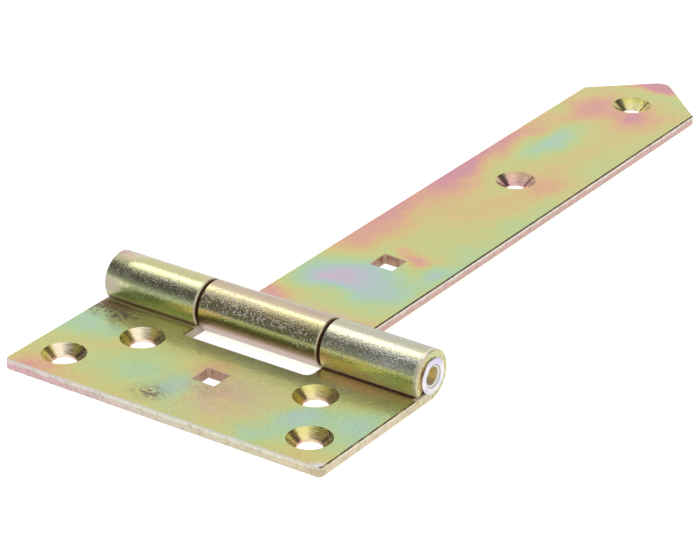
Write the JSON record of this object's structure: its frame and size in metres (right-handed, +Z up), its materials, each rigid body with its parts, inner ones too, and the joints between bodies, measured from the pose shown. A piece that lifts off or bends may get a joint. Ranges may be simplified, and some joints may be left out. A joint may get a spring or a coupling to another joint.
{
  "type": "gate hinge",
  "caption": "Flat gate hinge: a cross leaf and a long pointed strap, rolled round one riveted pin, with countersunk screw holes and square bolt holes.",
  "frame": {"origin": "middle of the bottom of the open, flat hinge's box, on the plane that both undersides share", "axes": "+X along the pin, +Y from the cross leaf to the strap's tip, +Z up, away from the surface it is fixed to"},
  "size_m": [0.1012, 0.2512, 0.0141],
  "materials": {
    "yellow_zinc_plate": "semi-gloss yellow passivated zinc with pink and green tints",
    "bright_zinc_pin": "bright bare zinc"
  },
  "bodies": {
    "leaf": {"cross_leaf": "yellow_zinc_plate", "hinge_pin": "bright_zinc_pin"},
    "strap": {"strap_leaf": "yellow_zinc_plate"}
  },
  "joints": [
    {"name": "strap_swing", "type": "hinge", "parent": "leaf", "child": "strap", "pos_m": [0, -0.07705, 0.00705], "axis": [1, 0, 0], "range_deg": [-115, 187]}
  ]
}
